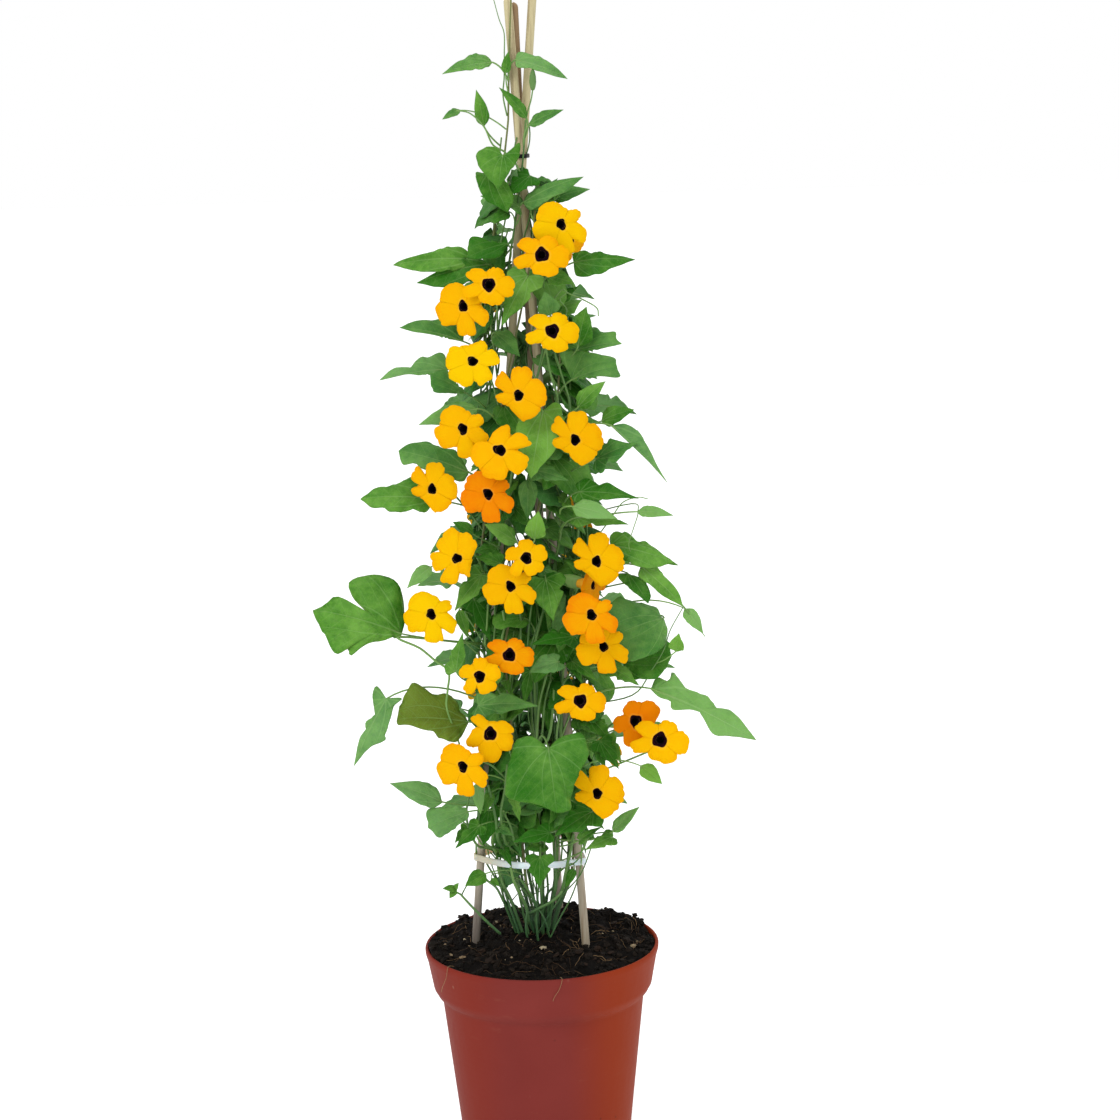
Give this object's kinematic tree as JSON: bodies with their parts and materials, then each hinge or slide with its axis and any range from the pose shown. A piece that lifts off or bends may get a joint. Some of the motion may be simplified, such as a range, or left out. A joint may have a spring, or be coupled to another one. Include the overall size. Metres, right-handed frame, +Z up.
{
  "type": "black eyed susan vine in a pot",
  "caption": "Flowering climbing vine trained up a pyramid of canes in a round nursery pot, with arrow shaped leaves and dark eyed yellow to orange blooms.",
  "frame": {"origin": "centre of the pot's flat base, on the surface it stands on", "axes": "+Z up along the pot's axis, the fullest flowering side faces -Y, +X to the right seen from there"},
  "size_m": [0.2681, 0.1897, 0.7252],
  "materials": {
    "pot_plastic": "satin",
    "peat": "matte",
    "cane_pale": "matte",
    "cane_brown": "matte",
    "tie_white": "satin",
    "tie_black": "satin",
    "foliage": "matte",
    "petal_yellow": "matte",
    "petal_amber": "matte",
    "petal_orange": "matte"
  },
  "bodies": {
    "root": {"pot": "pot_plastic", "soil": "peat", "cane_front_left": "cane_pale", "cane_front_right": "cane_pale", "cane_back": "cane_brown", "ring_tie": "tie_white", "top_tie": "tie_black", "leafy_stem_01": "foliage", "leafy_stem_02": "foliage", "leafy_stem_03": "foliage", "leafy_stem_04": "foliage", "leafy_stem_05": "foliage", "leafy_stem_06": "foliage", "leafy_stem_07": "foliage", "leafy_stem_08": "foliage", "leafy_stem_09": "foliage", "leafy_stem_10": "foliage", "leafy_stem_11": "foliage", "leafy_stem_12": "foliage", "bloom_01": "petal_yellow", "bloom_02": "petal_amber", "bloom_03": "petal_amber", "bloom_04": "petal_amber", "bloom_05": "petal_yellow", "bloom_06": "petal_yellow", "bloom_07": "petal_amber", "bloom_08": "petal_amber", "bloom_09": "petal_amber", "bloom_10": "petal_amber", "bloom_11": "petal_amber", "bloom_12": "petal_orange", "bloom_13": "petal_amber", "bloom_14": "petal_amber", "bloom_15": "petal_amber", "bloom_16": "petal_amber", "bloom_17": "petal_yellow", "bloom_18": "petal_orange", "bloom_19": "petal_amber", "bloom_20": "petal_orange", "bloom_21": "petal_amber", "bloom_22": "petal_amber", "bloom_23": "petal_amber", "bloom_24": "petal_amber", "bloom_25": "petal_orange", "bloom_26": "petal_amber", "bloom_27": "petal_amber", "bloom_28": "petal_amber", "bloom_29": "petal_orange", "bloom_30": "petal_orange", "bloom_31": "petal_amber", "bloom_32": "petal_amber", "bloom_33": "petal_amber", "bloom_34": "petal_amber", "bloom_35": "petal_amber", "bloom_36": "petal_amber", "bloom_37": "petal_amber", "bloom_38": "petal_orange", "bloom_39": "petal_amber", "bloom_40": "petal_amber"}
  },
  "joints": []
}
